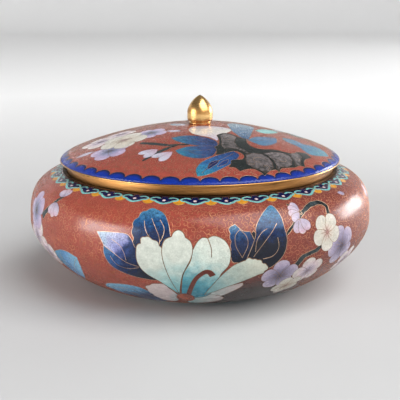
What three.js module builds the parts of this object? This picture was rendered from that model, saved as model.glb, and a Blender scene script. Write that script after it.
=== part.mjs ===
// Round lidded bowl in cloisonne enamel on copper, with gilt fittings.
// Millimetres, +Z up. The origin is the centre of the foot's underside.
import * as THREE from "three";

// Foot: a gilt ring under the bowl.
const FOOT_HEIGHT = 3;
const FOOT_RADIUS = 52;
const FOOT_THICKNESS = 3;

// Bowl: heights are measured up from its own flat base.
const BOWL_WALL = 2;
const BASE_RADIUS = 58.8;
const BELLY_RADIUS = 100;
const BELLY_HEIGHT = 35.9;
const BOWL_HEIGHT = 63.2;

// Reach of the bowl's curve beside each of its ends, which sets how full it is.
const BASE_RUN = 13.8;
const BELLY_DROP = 15.2;
const BELLY_RISE = 16.7;
const SHOULDER_RUN = 16.3;
const SHOULDER_SLOPE = THREE.MathUtils.degToRad(15.2);

// Collar: a gilt band round the mouth, standing on the bowl's lip.
const COLLAR_RADIUS = 78.1;
const COLLAR_THICKNESS = 1.6;
const COLLAR_HEIGHT = 5.4;
const LIP_LEDGE = 2.6;

// Lid rim: a gilt edge that lies on the collar, with a flange that drops inside it.
const RIM_THICKNESS = 0.8;
const RIM_PROUD = 0.4;
const FLANGE_THICKNESS = 1.2;
const FLANGE_DEPTH = 4;
const FLANGE_CLEARANCE = 0.4;

// Lid: a low enamelled dome. Its height is measured up from the rim.
const LID_WALL = 1.8;
const LID_OVERHANG = 3.5;
const LID_HEIGHT = 18.9;
const LID_EDGE_RISE = 3.3;
const LID_CROWN_RUN = 30;

// Finial: a gilt bud on the middle of the lid. Heights are measured up from the lid.
const FINIAL_SEAT_MARGIN = 0.4;
const FINIAL_FOOT_RADIUS = 6.5;
const FINIAL_FOOT_HEIGHT = 1.4;
const FINIAL_NECK_RADIUS = 6;
const FINIAL_NECK_RISE = 0.6;
const FINIAL_RADIUS = 7.5;
const FINIAL_SWELL_RISE = 4.5;
const FINIAL_BUD_RISE = 10.5;

// Where the finial's curve leaves its widest ring and where it comes in to the tip.
const BUD_SHOULDER = 4.5;
const BUD_TIP_RADIUS = 3.2;
const BUD_TIP_DROP = 1.2;

// How finely the turned shapes are faceted.
const RING_SEGMENTS = 64;
const FINIAL_SEGMENTS = 32;
const BOWL_CURVE_STEPS = 7;
const LID_CURVE_STEPS = 9;
const LID_CORNER_STEPS = 2;
const SWELL_STEPS = 3;
const BUD_STEPS = 7;

// Heights and radii that follow from the sizes above.
const baseLevel = FOOT_HEIGHT;
const bellyLevel = baseLevel + BELLY_HEIGHT;
const lipLevel = baseLevel + BOWL_HEIGHT;
const collarTop = lipLevel + COLLAR_HEIGHT;
const lidEdgeLevel = collarTop + RIM_THICKNESS;
const crownLevel = lidEdgeLevel + LID_HEIGHT;
const mouthRadius = COLLAR_RADIUS - COLLAR_THICKNESS;
const lipRadius = COLLAR_RADIUS + LIP_LEDGE;
const flangeRadius = mouthRadius - FLANGE_CLEARANCE;
const lidRadius = COLLAR_RADIUS + LID_OVERHANG;
const seatRadius = FINIAL_FOOT_RADIUS + FINIAL_SEAT_MARGIN;

const gilt = { color: 0xc79a45, roughness: 0.3, metalness: 1 };
const enamel = { color: 0xa8503f, roughness: 0.18, metalness: 0 };

function point(radius, height) {
  return new THREE.Vector2(radius, height);
}

// The exact direction of a cubic curve, so that level and upright ends stay so.
function curveDirection([start, leave, arrive, end], t) {
  const direction = point(0, 0);
  direction.addScaledVector(leave.clone().sub(start), (1 - t) * (1 - t));
  direction.addScaledVector(arrive.clone().sub(leave), 2 * (1 - t) * t);
  direction.addScaledVector(end.clone().sub(arrive), t * t);
  return direction.normalize();
}

// Points along a cubic curve, moved sideways by a distance towards its left side.
function curvePoints(ends, steps, inset = 0) {
  const curve = new THREE.CubicBezierCurve(...ends);
  const points = [];
  for (let i = 0; i <= steps; i += 1) {
    const at = curve.getPoint(i / steps);
    const along = curveDirection(ends, i / steps);
    points.push(point(at.x - along.y * inset, at.y + along.x * inset));
  }
  return points;
}

// A turned solid: its section is drawn anticlockwise, radius across and height up.
function turned(name, section, finish, segments = RING_SEGMENTS) {
  const geometry = new THREE.LatheGeometry(section, segments);
  geometry.rotateX(Math.PI / 2);
  const mesh = new THREE.Mesh(geometry, new THREE.MeshStandardMaterial(finish));
  mesh.name = name;
  return mesh;
}

function ringSection(inner, outer, bottom, top) {
  return [
    point(inner, bottom),
    point(outer, bottom),
    point(outer, top),
    point(inner, top),
    point(inner, bottom),
  ];
}

function footRing() {
  const section = ringSection(FOOT_RADIUS - FOOT_THICKNESS, FOOT_RADIUS, 0, baseLevel);
  return turned("foot_ring", section, gilt);
}

// The bowl's wall follows two curves that meet upright at the belly.
function bowlBody() {
  const lower = [
    point(BASE_RADIUS, baseLevel),
    point(BASE_RADIUS + BASE_RUN, baseLevel),
    point(BELLY_RADIUS, bellyLevel - BELLY_DROP),
    point(BELLY_RADIUS, bellyLevel),
  ];
  const shoulderOut = SHOULDER_RUN * Math.cos(SHOULDER_SLOPE);
  const shoulderDown = SHOULDER_RUN * Math.sin(SHOULDER_SLOPE);
  const upper = [
    point(BELLY_RADIUS, bellyLevel),
    point(BELLY_RADIUS, bellyLevel + BELLY_RISE),
    point(lipRadius + shoulderOut, lipLevel - shoulderDown),
    point(lipRadius, lipLevel),
  ];
  const outside = [
    ...curvePoints(lower, BOWL_CURVE_STEPS),
    ...curvePoints(upper, BOWL_CURVE_STEPS).slice(1),
  ];
  const inside = [
    ...curvePoints(lower, BOWL_CURVE_STEPS, BOWL_WALL),
    ...curvePoints(upper, BOWL_CURVE_STEPS, BOWL_WALL).slice(1),
  ];
  const underLip = inside[inside.length - 1].y;
  const section = [
    point(0, baseLevel),
    ...outside,
    point(mouthRadius, lipLevel),
    point(mouthRadius, underLip),
    ...inside.reverse(),
    point(0, baseLevel + BOWL_WALL),
  ];
  return turned("bowl_body", section, enamel);
}

function neckCollar() {
  const section = ringSection(mouthRadius, COLLAR_RADIUS, lipLevel, collarTop);
  return turned("neck_collar", section, gilt);
}

function lidRim() {
  const flangeInner = flangeRadius - FLANGE_THICKNESS;
  const flangeFoot = collarTop - FLANGE_DEPTH;
  const section = [
    point(flangeInner, flangeFoot),
    point(flangeRadius, flangeFoot),
    point(flangeRadius, collarTop),
    point(lidRadius + RIM_PROUD, collarTop),
    point(lidRadius + RIM_PROUD, lidEdgeLevel),
    point(flangeInner, lidEdgeLevel),
    point(flangeInner, flangeFoot),
  ];
  return turned("lid_rim", section, gilt);
}

// The dome rises upright from the rim and ends level, where the finial stands.
// Its wall is even, but for the rim's tight corner, which the inside cuts across.
function lidShell() {
  const dome = [
    point(lidRadius, lidEdgeLevel),
    point(lidRadius, lidEdgeLevel + LID_EDGE_RISE),
    point(seatRadius + LID_CROWN_RUN, crownLevel),
    point(seatRadius, crownLevel),
  ];
  const inside = [
    point(lidRadius - LID_WALL, lidEdgeLevel),
    ...curvePoints(dome, LID_CURVE_STEPS, LID_WALL).slice(LID_CORNER_STEPS),
  ];
  const section = [
    point(0, crownLevel - LID_WALL),
    ...inside.reverse(),
    ...curvePoints(dome, LID_CURVE_STEPS),
    point(0, crownLevel),
  ];
  return turned("lid_shell", section, enamel);
}

// A disc, a groove, and a bud that swells and closes to a soft point.
function finial() {
  const footTop = crownLevel + FINIAL_FOOT_HEIGHT;
  const neckLevel = footTop + FINIAL_NECK_RISE;
  const widestLevel = neckLevel + FINIAL_SWELL_RISE;
  const tipLevel = widestLevel + FINIAL_BUD_RISE;
  const swell = [
    point(FINIAL_NECK_RADIUS, neckLevel),
    point(FINIAL_RADIUS, neckLevel),
    point(FINIAL_RADIUS, neckLevel),
    point(FINIAL_RADIUS, widestLevel),
  ];
  const bud = [
    point(FINIAL_RADIUS, widestLevel),
    point(FINIAL_RADIUS, widestLevel + BUD_SHOULDER),
    point(BUD_TIP_RADIUS, tipLevel - BUD_TIP_DROP),
    point(0, tipLevel),
  ];
  const section = [
    point(0, crownLevel),
    point(FINIAL_FOOT_RADIUS, crownLevel),
    point(FINIAL_FOOT_RADIUS, footTop),
    ...curvePoints(swell, SWELL_STEPS),
    ...curvePoints(bud, BUD_STEPS).slice(1),
  ];
  return turned("finial", section, gilt, FINIAL_SEGMENTS);
}

const group = new THREE.Group();
group.add(footRing(), bowlBody(), neckCollar(), lidRim(), lidShell(), finial());

export default group;
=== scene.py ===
# A round lidded bowl in cloisonne enamel: its finish and fine work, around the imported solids.
import math
import random

import bmesh
import bpy
import numpy as np
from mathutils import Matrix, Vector, kdtree, noise
from mathutils.geometry import delaunay_2d_cdt


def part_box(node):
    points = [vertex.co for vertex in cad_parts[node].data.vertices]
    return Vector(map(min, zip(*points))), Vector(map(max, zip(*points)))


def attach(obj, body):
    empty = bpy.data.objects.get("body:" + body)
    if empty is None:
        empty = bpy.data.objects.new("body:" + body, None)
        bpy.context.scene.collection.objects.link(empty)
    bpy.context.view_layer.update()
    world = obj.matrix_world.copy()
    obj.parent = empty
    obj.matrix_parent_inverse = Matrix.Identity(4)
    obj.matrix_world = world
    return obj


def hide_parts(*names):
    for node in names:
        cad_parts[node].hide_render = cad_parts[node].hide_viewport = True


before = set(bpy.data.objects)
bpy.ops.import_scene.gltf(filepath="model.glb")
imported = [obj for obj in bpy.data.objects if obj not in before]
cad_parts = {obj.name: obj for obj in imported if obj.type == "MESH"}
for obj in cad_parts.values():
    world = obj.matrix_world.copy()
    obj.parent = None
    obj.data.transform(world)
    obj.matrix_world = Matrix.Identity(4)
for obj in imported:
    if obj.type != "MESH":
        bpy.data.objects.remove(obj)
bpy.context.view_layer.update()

# Shapes are worked out in millimetres and scaled once, when a mesh is made.
MM = 0.001


def box_mm(node):
    low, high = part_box(node)
    return np.array(low) / MM, np.array(high) / MM


# Sizes read from the solids.
BOWL_LOW, BOWL_HIGH = box_mm("bowl_body")
BELLY_RADIUS = BOWL_HIGH[0]
BASE_LEVEL = BOWL_LOW[2]
LIP_LEVEL = BOWL_HIGH[2]
COLLAR_RADIUS = box_mm("neck_collar")[1][0]
COLLAR_TOP = box_mm("neck_collar")[1][2]
RIM_LOW, RIM_HIGH = box_mm("lid_rim")
LID_LOW, LID_HIGH = box_mm("lid_shell")
LID_RADIUS = LID_HIGH[0]
EDGE_LEVEL = LID_LOW[2]
CROWN_LEVEL = LID_HIGH[2]
FOOT_LOW, FOOT_HIGH = box_mm("foot_ring")
FINIAL_LOW, FINIAL_HIGH = box_mm("finial")

# Sizes of the solids that their boxes don't give, repeated from their source.
BOWL_WALL = 2
BASE_RADIUS = 58.8
BELLY_HEIGHT = 35.9
BASE_RUN = 13.8
BELLY_DROP = 15.2
BELLY_RISE = 16.7
SHOULDER_RUN = 16.3
SHOULDER_SLOPE = math.radians(15.2)
LIP_LEDGE = 2.6
COLLAR_THICKNESS = 1.6
FLANGE_CLEARANCE = 0.4
FLANGE_THICKNESS = 1.2
FOOT_THICKNESS = 3
LID_WALL = 1.8
LID_EDGE_RISE = 3.3
LID_CROWN_RUN = 30
FINIAL_SEAT_RADIUS = 6.9
FINIAL_FOOT_RADIUS = 6.5
FINIAL_FOOT_HEIGHT = 1.4
FINIAL_NECK_RADIUS = 6
FINIAL_NECK_RISE = 0.6
FINIAL_SWELL_RISE = 4.5
BUD_SHOULDER = 4.5
BUD_TIP_RADIUS = 3.2
BUD_TIP_DROP = 1.2

MOUTH_RADIUS = COLLAR_RADIUS - COLLAR_THICKNESS
LIP_RADIUS = COLLAR_RADIUS + LIP_LEDGE
BELLY_LEVEL = BASE_LEVEL + BELLY_HEIGHT

# The finish: enamel colours as sRGB, and the wires' sizes.
TERRACOTTA = "a94e3f"
# The maroon and the brown below are painted shade on the bowl's terracotta ground.
SHADE_MAROON = "783830"
SHADE_BROWN = "2c1813"
COBALT = "06309a"
NAVY = "070e20"
BORDER_NAVY = "101c4e"
SKY = "4a84a6"
BLUE = "24507e"
DEEP_BLUE = "10264f"
TURQUOISE = "3a8fa6"
PETAL_WHITE = "e3e7db"
PETAL_PINK = "eed6da"
LILAC = "b3a6c1"
PALE_LILAC = "d3c5d7"
DUSK_LILAC = "55506c"
CREAM = "dcd5c6"
BLOSSOM_WHITE = "e4ded4"
BUD_PINK = "dcb4c6"
PALE_SKY = "7fb2cf"
STEM_RED = "702c1e"
TWIG = "101416"
TWIG_LIGHT = "39464a"
ROCK_DARK = "1c2322"
ROCK_GREY = "5e595a"
ROCK_TAUPE = "7a7070"
AMBER = "e09a2e"
AQUA = "7cc6c4"
LINING = "3f8fae"

GROUND_WIRE = 0.28
FINE_WIRE = 0.34
OUTLINE_WIRE = 0.4
PETAL_WIRE = 0.58
WIRE_PROUD = 0.05
WIRE_SUNK = 0.03

# How finely the work is meshed.
CELL_STEP = 0.9
SKIN_STEP = 1.6
RING_STEPS = 400
LINING_STEPS = 14
TURNED_STEPS = 192
FINIAL_STEPS = 96
SHARP_ANGLE = 0.6
SKIN_WELD = 0.02
RING_WELD = 0.001


def linear(colour):
    channels = [int(colour[i:i + 2], 16) / 255 for i in (0, 2, 4)]
    return np.array([c / 12.92 if c <= 0.04045 else ((c + 0.055) / 1.055) ** 2.4 for c in channels])


def bezier(ends, steps):
    start, leave, arrive, end = (np.array(p, float) for p in ends)
    t = np.linspace(0, 1, steps + 1)[:, None]
    s = 1 - t
    return s**3 * start + 3 * s * s * t * leave + 3 * s * t * t * arrive + t**3 * end


def inset(curve, distance):
    """The curve moved to its left side, all points radius and height."""
    along = np.gradient(curve, axis=0)
    along /= np.linalg.norm(along, axis=1)[:, None]
    return curve + np.stack([-along[:, 1], along[:, 0]], 1) * distance


def bowl_curve(steps=150):
    lower = bezier([
        (BASE_RADIUS, BASE_LEVEL),
        (BASE_RADIUS + BASE_RUN, BASE_LEVEL),
        (BELLY_RADIUS, BELLY_LEVEL - BELLY_DROP),
        (BELLY_RADIUS, BELLY_LEVEL),
    ], steps)
    shoulder_out = SHOULDER_RUN * math.cos(SHOULDER_SLOPE)
    shoulder_down = SHOULDER_RUN * math.sin(SHOULDER_SLOPE)
    upper = bezier([
        (BELLY_RADIUS, BELLY_LEVEL),
        (BELLY_RADIUS, BELLY_LEVEL + BELLY_RISE),
        (LIP_RADIUS + shoulder_out, LIP_LEVEL - shoulder_down),
        (LIP_RADIUS, LIP_LEVEL),
    ], steps)
    return np.vstack([lower, upper[1:]])


def dome_curve(steps=200):
    """From the middle of the crown out to the lid's edge."""
    dome = bezier([
        (LID_RADIUS, EDGE_LEVEL),
        (LID_RADIUS, EDGE_LEVEL + LID_EDGE_RISE),
        (FINIAL_SEAT_RADIUS + LID_CROWN_RUN, CROWN_LEVEL),
        (FINIAL_SEAT_RADIUS, CROWN_LEVEL),
    ], steps)[::-1]
    return np.vstack([[0, CROWN_LEVEL], dome])


class Sheet:
    """A turned surface laid out flat. The bowl's is a strip, azimuth across and arc length up;
    the lid's is a disc, seen from above. Azimuth 0 faces -Y."""

    def __init__(self, curve, disc, outward):
        self.curve = curve
        self.disc = disc
        self.arc = np.concatenate([[0], np.cumsum(np.hypot(*np.diff(curve, axis=0).T))])
        along = np.gradient(curve, self.arc, axis=0)
        self.normals = np.stack([along[:, 1], -along[:, 0]], 1) * outward

    def lift(self, flat):
        """Places on the real surface, and the directions straight out from it."""
        flat = np.asarray(flat, float)
        if self.disc:
            azimuth = np.arctan2(flat[:, 0], -flat[:, 1])
            arc = np.hypot(flat[:, 0], flat[:, 1])
        else:
            azimuth = flat[:, 0] / BELLY_RADIUS
            arc = flat[:, 1]
        radius = np.interp(arc, self.arc, self.curve[:, 0])
        height = np.interp(arc, self.arc, self.curve[:, 1])
        out = np.interp(arc, self.arc, self.normals[:, 0])
        up = np.interp(arc, self.arc, self.normals[:, 1])
        turn = np.stack([np.sin(azimuth), -np.cos(azimuth)], 1)
        normals = np.column_stack([turn * out[:, None], up])
        normals /= np.linalg.norm(normals, axis=1)[:, None]
        places = np.column_stack([turn * radius[:, None], height])
        return places, normals

    def across(self, arc):
        """How many real millimetres one sheet millimetre across stands for."""
        if self.disc:
            return 1.0
        return float(np.interp(arc, self.arc, self.curve[:, 0])) / BELLY_RADIUS


# Outlines and lines, all in sheet millimetres.

def smooth(points, corners=(), closed=True, step=CELL_STEP):
    """A smooth line through points, with a sharp turn at each corner's index."""
    points = [np.array(p, float) for p in points]
    count = len(points)
    line = []
    for i in range(count if closed else count - 1):
        here, there = points[i], points[(i + 1) % count]
        first = i in corners or (not closed and i == 0)
        last = (i + 1) % count in corners or (not closed and i == count - 2)
        before = here if first else points[i - 1]
        after = there if last else points[(i + 2) % count]
        steps = max(2, math.ceil(np.linalg.norm(there - here) / step))
        for k in range(steps):
            t = k / steps
            line.append(0.5 * (
                2 * here + (there - before) * t
                + (2 * before - 5 * here + 4 * there - after) * t * t
                + (3 * here - before - 3 * there + after) * t**3
            ))
    if not closed:
        line.append(points[-1])
    return np.array(line)


def round_cell(centre, across, along=None, step=CELL_STEP):
    """An ellipse, across wide and along high."""
    along = across if along is None else along
    count = max(10, math.ceil(math.pi * (across + along) / 2 / step))
    angle = np.linspace(0, 2 * math.pi, count, endpoint=False)
    return np.stack([centre[0] + across / 2 * np.cos(angle), centre[1] + along / 2 * np.sin(angle)], 1)


def blade(base, tip, width, bend=0.0, full=0.6, point=1.0):
    """A petal or leaf from base to tip. full is where it is widest, and point sharpens the tip."""
    base, tip = np.array(base, float), np.array(tip, float)
    axis = tip - base
    length = np.linalg.norm(axis)
    side = np.array([-axis[1], axis[0]]) / length
    steps = max(6, math.ceil(length / CELL_STEP))
    t = (1 - np.cos(np.linspace(0, math.pi, steps + 1))) / 2
    rise = np.sin(math.pi / 2 * np.clip(t / full, 0, 1)) ** 0.85
    fall = np.cos(math.pi / 2 * np.clip((t - full) / (1 - full), 0, 1)) ** point
    half = width / 2 * rise * fall
    middle = base + t[:, None] * axis + side * (bend * np.sin(math.pi * t))[:, None]
    left = middle + side * half[:, None]
    right = middle - side * half[:, None]
    return np.vstack([left, right[-2:0:-1]])


def band(points, widths):
    """A strip along a smooth line, whose width runs through widths."""
    line = smooth(points, closed=False)
    along = np.gradient(line, axis=0)
    along /= np.linalg.norm(along, axis=1)[:, None]
    side = np.stack([-along[:, 1], along[:, 0]], 1)
    share = np.linspace(0, 1, len(line))
    half = np.interp(share, np.linspace(0, 1, len(widths)), widths)[:, None] / 2
    return np.vstack([line + side * half, (line - side * half)[::-1]])


# Colours of a cell, each a function of places on the sheet.

def wander(flat, size):
    """Slow random change over the sheet, from -1 to 1."""
    return np.array([noise.noise(Vector((x / size, y / size, 0))) for x, y in flat])


def graded(share, stops, grain):
    """The colour at each share of the way, with the strength of its grain beside it."""
    places = [stop[0] for stop in stops]
    values = np.array([linear(stop[1]) for stop in stops])
    columns = [np.interp(share, places, values[:, k]) for k in range(3)]
    return np.stack(columns + [np.full(len(share), grain)], 1)


def plain(colour, vary=0.06, grain=0.3):
    value = linear(colour)

    def tint(flat):
        shade = value * (1 + vary * wander(flat, 5.0))[:, None]
        return np.column_stack([shade, np.full(len(flat), grain)])
    return tint


def fade(start, end, stops, drift=0.08, size=4.0, grain=0.4):
    """Colours that change from start to end. stops are (share of the way, colour)."""
    start, end = np.array(start, float), np.array(end, float)
    axis = end - start

    def tint(flat):
        return graded((flat - start) @ axis / (axis @ axis) + drift * wander(flat, size), stops, grain)
    return tint


def bloom(centre, radius, stops, drift=0.08, grain=0.25):
    """Colours that change outwards from a centre."""
    centre = np.array(centre, float)

    def tint(flat):
        away = np.linalg.norm(flat - centre, axis=1) / radius
        return graded(away + drift * wander(flat, 2.5), stops, grain)
    return tint


def inside(flat, outline):
    """Which places lie inside a closed outline."""
    found = np.zeros(len(flat), bool)
    low, high = outline.min(0), outline.max(0)
    near = np.nonzero(((flat >= low) & (flat <= high)).all(1))[0]
    if len(near) == 0:
        return found
    x, y = flat[near].T
    odd = np.zeros(len(near), bool)
    x1, y1 = outline.T
    x2, y2 = np.roll(outline, -1, axis=0).T
    for ax, ay, bx, by in zip(x1, y1, x2, y2):
        if ay == by:
            continue
        crosses = (ay > y) != (by > y)
        odd ^= crosses & (x < (bx - ax) * (y - ay) / (by - ay) + ax)
    found[near] = odd
    return found


class Drawing:
    """What a picture and a place on one have in common."""

    def petal(self, outline, tint, wire=FINE_WIRE):
        """A cell with a dull wire round it."""
        self.cell(outline, tint, wire, "bronze")


class Picture(Drawing):
    """Enamel cells in painter's order, and the wires on them. A wire's tone is gilt, bronze or copper."""

    def __init__(self, sheet, ground):
        self.sheet = sheet
        self.ground = ground
        self.cells = []
        self.wires = []

    def cell(self, outline, tint, wire=OUTLINE_WIRE, tone="gilt"):
        self.cells.append((outline, tint))
        if wire:
            closed = np.vstack([outline, outline[:1]])
            self.wires.append((closed, wire, tone, len(self.cells)))

    def line(self, points, wire=FINE_WIRE, tone="gilt"):
        self.wires.append((smooth(points, closed=False), wire, tone, len(self.cells)))

    def visible_wires(self, wanted):
        """Each wire of one tone, cut where a later cell covers it."""
        chosen = [(points, wire, level) for points, wire, tone, level in self.wires if tone == wanted]
        flat = np.vstack([points for points, _, _ in chosen])
        levels = np.concatenate([np.full(len(points), level) for points, _, level in chosen])
        shown = np.ones(len(flat), bool)
        for index, (outline, _) in enumerate(self.cells):
            shown &= ~(inside(flat, outline) & (levels <= index))
        first = 0
        for points, wire, _ in chosen:
            start = None
            for i, free in enumerate([*shown[first:first + len(points)], False]):
                if free and start is None:
                    start = i
                if not free and start is not None:
                    if i - start > 1:
                        yield points[start:i], wire
                    start = None
            first += len(points)


class Placed(Drawing):
    """Draws a composition at a place on a picture, mirrored where flip is -1."""

    def __init__(self, picture, x, flip):
        self.picture = picture
        self.shift = np.array([x, 0.0])
        self.scale = np.array([flip, 1.0])

    def move(self, flat):
        return np.asarray(flat, float) * self.scale + self.shift

    def unmove(self, tint):
        return lambda flat: tint((flat - self.shift) / self.scale)

    def cell(self, outline, tint, wire=OUTLINE_WIRE, tone="gilt"):
        self.picture.cell(self.move(outline), self.unmove(tint), wire, tone)

    def line(self, points, wire=FINE_WIRE, tone="gilt"):
        self.picture.line(self.move(points), wire, tone)


# Parts of the ornament.

def ruffle(outline, first, last, waves, depth):
    """Scallops along a share of an outline, from first to last, pushed out by depth."""
    closed = np.vstack([outline, outline[:1]])
    steps = np.hypot(*np.diff(closed, axis=0).T)
    share = np.concatenate([[0], np.cumsum(steps)])[:-1] / steps.sum()
    along = np.roll(outline, -1, axis=0) - np.roll(outline, 1, axis=0)
    along /= np.linalg.norm(along, axis=1)[:, None] + 1e-9
    out = np.stack([along[:, 1], -along[:, 0]], 1)
    x, y = outline.T
    if (x * np.roll(y, -1) - y * np.roll(x, -1)).sum() < 0:
        out = -out
    t = np.clip((share - first) / (last - first), 0, 1)
    push = depth * np.abs(np.sin(math.pi * waves * t))
    return outline + out * push[:, None]


# A blossom's parts, as shares of its radius.
PETALS = 5
PETAL_SPAN = 0.86
STAMEN_FOOT = 0.08
STAMEN_REACHES = (0.36, 0.46)
HEART_SPAN = 0.16


def plum_blossom(draw, centre, radius, turn, stops):
    """Petals about a centre, with a ring of stamens."""
    centre = np.array(centre, float)
    tint = bloom(centre, radius, stops)
    for k in range(PETALS):
        angle = turn + 2 * math.pi * k / PETALS
        out = np.array([-math.sin(angle), math.cos(angle)])
        draw.petal(blade(centre, centre + out * radius, radius * PETAL_SPAN, full=0.68, point=0.5), tint)
    for k in range(2 * PETALS):
        angle = turn + math.pi * (k + 0.5) / PETALS
        out = np.array([-math.sin(angle), math.cos(angle)])
        foot = centre + out * radius * STAMEN_FOOT
        draw.line([foot, centre + out * radius * STAMEN_REACHES[k % 2]], GROUND_WIRE, "bronze")
    draw.petal(round_cell(centre, radius * HEART_SPAN), plain(stops[0][1]))


# The angle between a bud's petals, and each petal's width as a share of the bud's.
BUD_FAN = 0.62
BUD_PETAL_SPAN = 0.62


def plum_bud(draw, base, tip, width, stops, lobes=3):
    """A half-open bud: petals fanned from its base."""
    base, tip = np.array(base, float), np.array(tip, float)
    axis = tip - base
    tint = fade(base, tip, stops, grain=0.25)
    for k in range(lobes):
        spread = (k - (lobes - 1) / 2) * BUD_FAN
        c, s = math.cos(spread), math.sin(spread)
        end = base + np.array([axis[0] * c - axis[1] * s, axis[0] * s + axis[1] * c])
        draw.petal(blade(base, end, width * BUD_PETAL_SPAN, full=0.66, point=0.5), tint)


def twig(draw, points, widths):
    """A dark branch, knotted where it is widest, with a paler streak along it."""
    outline = band(points, widths)
    waves = max(2, round(len(outline) / 7))
    draw.cell(ruffle(outline, 0, 1, waves, 0.3), fade(points[0], points[-1], [
        (0, TWIG), (0.45, TWIG_LIGHT), (0.55, TWIG), (0.8, TWIG_LIGHT), (1, TWIG)],
        drift=0.5, size=2.0, grain=0.5), FINE_WIRE)


LILAC_STOPS = [(0.05, DUSK_LILAC), (0.4, "9187a2"), (0.7, LILAC), (1, PALE_LILAC)]
PINK_STOPS = [(0.05, "9c8aa4"), (0.3, PALE_LILAC), (0.6, PETAL_PINK), (1, BLOSSOM_WHITE)]
WHITE_STOPS = [(0.05, "b98a86"), (0.26, "e2cfc2"), (0.5, CREAM), (1, BLOSSOM_WHITE)]
CREAM_STOPS = [(0.05, "b3958a"), (0.3, "ddd0bd"), (0.7, CREAM), (1, BLOSSOM_WHITE)]
BUD_STOPS = [(0, LILAC), (0.5, PALE_LILAC), (0.85, "e2bccc"), (1, PETAL_PINK)]
LID_LILAC_STOPS = [(0.05, "5f6378"), (0.3, "9095b8"), (0.65, "c0b0d2"), (1, "dcc2dc")]


def big_leaves(draw):
    """Blue leaves behind the flower, pale at their tops and almost black at the foot. The long leaf's pale
    lavender end is a painted highlight.
    """
    upright = smooth([
        (-23.5, 83.8), (-28.6, 82.6), (-31.4, 79.5), (-34, 74.3), (-33.4, 69), (-32.7, 64), (-25, 58),
        (-19.6, 57), (-13.5, 60), (-14.6, 70.8), (-16, 76.4), (-18.8, 81.2),
    ], corners=(5,))
    draw.cell(ruffle(upright, 0, 0.36, 5, 1.0), fade((-22, 60), (-25, 85), [
        (0, NAVY), (0.45, DEEP_BLUE), (0.7, BLUE), (1, SKY)], drift=0.2, size=2.2, grain=1.0))
    draw.line([(-19.6, 58), (-20, 68.2), (-22.2, 73.5), (-25, 78.5)])
    draw.line([(-20.2, 66.5), (-24.5, 68.5), (-27.2, 72), (-28.7, 77)])
    draw.line([(-20, 66.5), (-18.2, 70), (-18, 74), (-20.4, 77.8)])

    long_leaf = smooth([
        (-54.8, 68.8), (-44.7, 69.6), (-36.5, 69.2), (-32.7, 63.6), (-27, 60), (-18, 52), (-22, 45),
        (-31, 45.2), (-38.8, 47.2), (-46.3, 51.2), (-50, 57.4), (-50.4, 62.5),
    ], corners=(0, 3))
    # The pale lavender stops at the long leaf's tip are a painted highlight; from there the leaf runs down
    # to navy.
    draw.cell(long_leaf, fade((-54, 66), (-28, 50), [
        (0, "a5c0d4"), (0.22, "a8acd0"), (0.42, "8487bc"), (0.52, "1f3a74"), (0.62, DEEP_BLUE), (1, NAVY)],
        drift=0.16, size=3.4, grain=0.8))
    draw.cell(smooth([
        (-50.4, 62.4), (-44, 58.9), (-37.4, 55), (-30.2, 53), (-24, 51), (-22, 45), (-31, 45.2),
        (-38.8, 47.2), (-46.3, 51.2), (-50, 57.4),
    ], corners=(0, 4)), fade((-50, 60), (-28, 48), [
        (0, "3a6c96"), (0.25, "2a4f86"), (0.5, DEEP_BLUE), (1, NAVY)], drift=0.2, size=2.4, grain=0.9))
    draw.line([(-45.6, 66), (-41, 63.5), (-38.6, 60), (-37.4, 56)])
    draw.line([(-46.4, 57.2), (-43, 52.8), (-37, 51.3), (-31, 52.6)])

    draw.cell(blade((25.4, 55), (26.9, 72), 7.6), plain(NAVY, 0.2))
    small = smooth([
        (17.6, 75.8), (15, 73.5), (15.5, 66.5), (16, 58), (24, 56), (28, 60), (27, 67), (25, 71.8),
        (21.5, 72.2),
    ], corners=(0, 7))
    draw.cell(ruffle(small, 0.03, 0.4, 5, 0.7), fade((21, 58), (18, 76), [
        (0, NAVY), (0.5, DEEP_BLUE), (0.8, BLUE), (1, SKY)], drift=0.16, size=2.2, grain=1.0))
    draw.line([(20.8, 59), (17.6, 65), (17.4, 70), (19.8, 73)])
    draw.line([(20.8, 59), (23.6, 65), (23, 69.5), (19.8, 73)])

    tall = smooth([
        (40.4, 85.2), (35.2, 82.2), (31, 78), (28.3, 73.6), (27.4, 68.4), (23, 58), (26, 52), (34.6, 51.4),
        (42.4, 57.8), (44.8, 65.2), (43.8, 72), (43, 79),
    ], corners=(5,))
    draw.cell(tall, fade((36, 54), (38, 85), [
        (0, NAVY), (0.34, NAVY), (0.52, DEEP_BLUE), (0.7, BLUE), (1, SKY)], drift=0.2, size=2.4, grain=1.0))
    draw.line([(26.5, 59), (32, 65.5), (37, 71), (39.8, 74.5)])
    draw.line([(27.5, 61.5), (28.4, 67), (31.2, 70.8), (34.2, 72.4)])
    draw.line([(31.5, 57.5), (37, 58.6), (40, 62.5), (39.6, 67.5)])


def low_leaves(draw):
    """Paler leaves low on the bowl, under the flower and out to its left."""
    under = smooth([
        (-64, 28), (-58, 33.6), (-45.6, 36.6), (-36, 36), (-29, 30), (-22, 20), (-27, 12), (-40, 13),
        (-52, 19),
    ], corners=(0,))
    draw.cell(under, fade((-50, 37), (-40, 14), [
        (0, PALE_SKY), (0.35, "5f93b8"), (0.7, DEEP_BLUE), (1, BLUE)], drift=0.16, size=3, grain=0.8))
    draw.line([(-60, 28.5), (-48, 31.5), (-38, 30.5), (-29, 24)])
    draw.line([(-50, 31.2), (-44, 25), (-36, 21)])

    apart = smooth([
        (-92, 48.5), (-86, 52.8), (-78, 54), (-69.6, 52), (-71, 44), (-77, 34), (-84, 28), (-90, 36),
    ], corners=(3, 6))
    draw.cell(apart, fade((-88, 46), (-74, 44), [
        (0, SKY), (0.5, "5b8fc0"), (1, PALE_SKY)], drift=0.2, size=2.6, grain=0.7))
    draw.line([(-83, 30), (-80, 40), (-71, 51)])
    draw.line([(-80.5, 38.5), (-85, 44), (-86, 50)])


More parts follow.
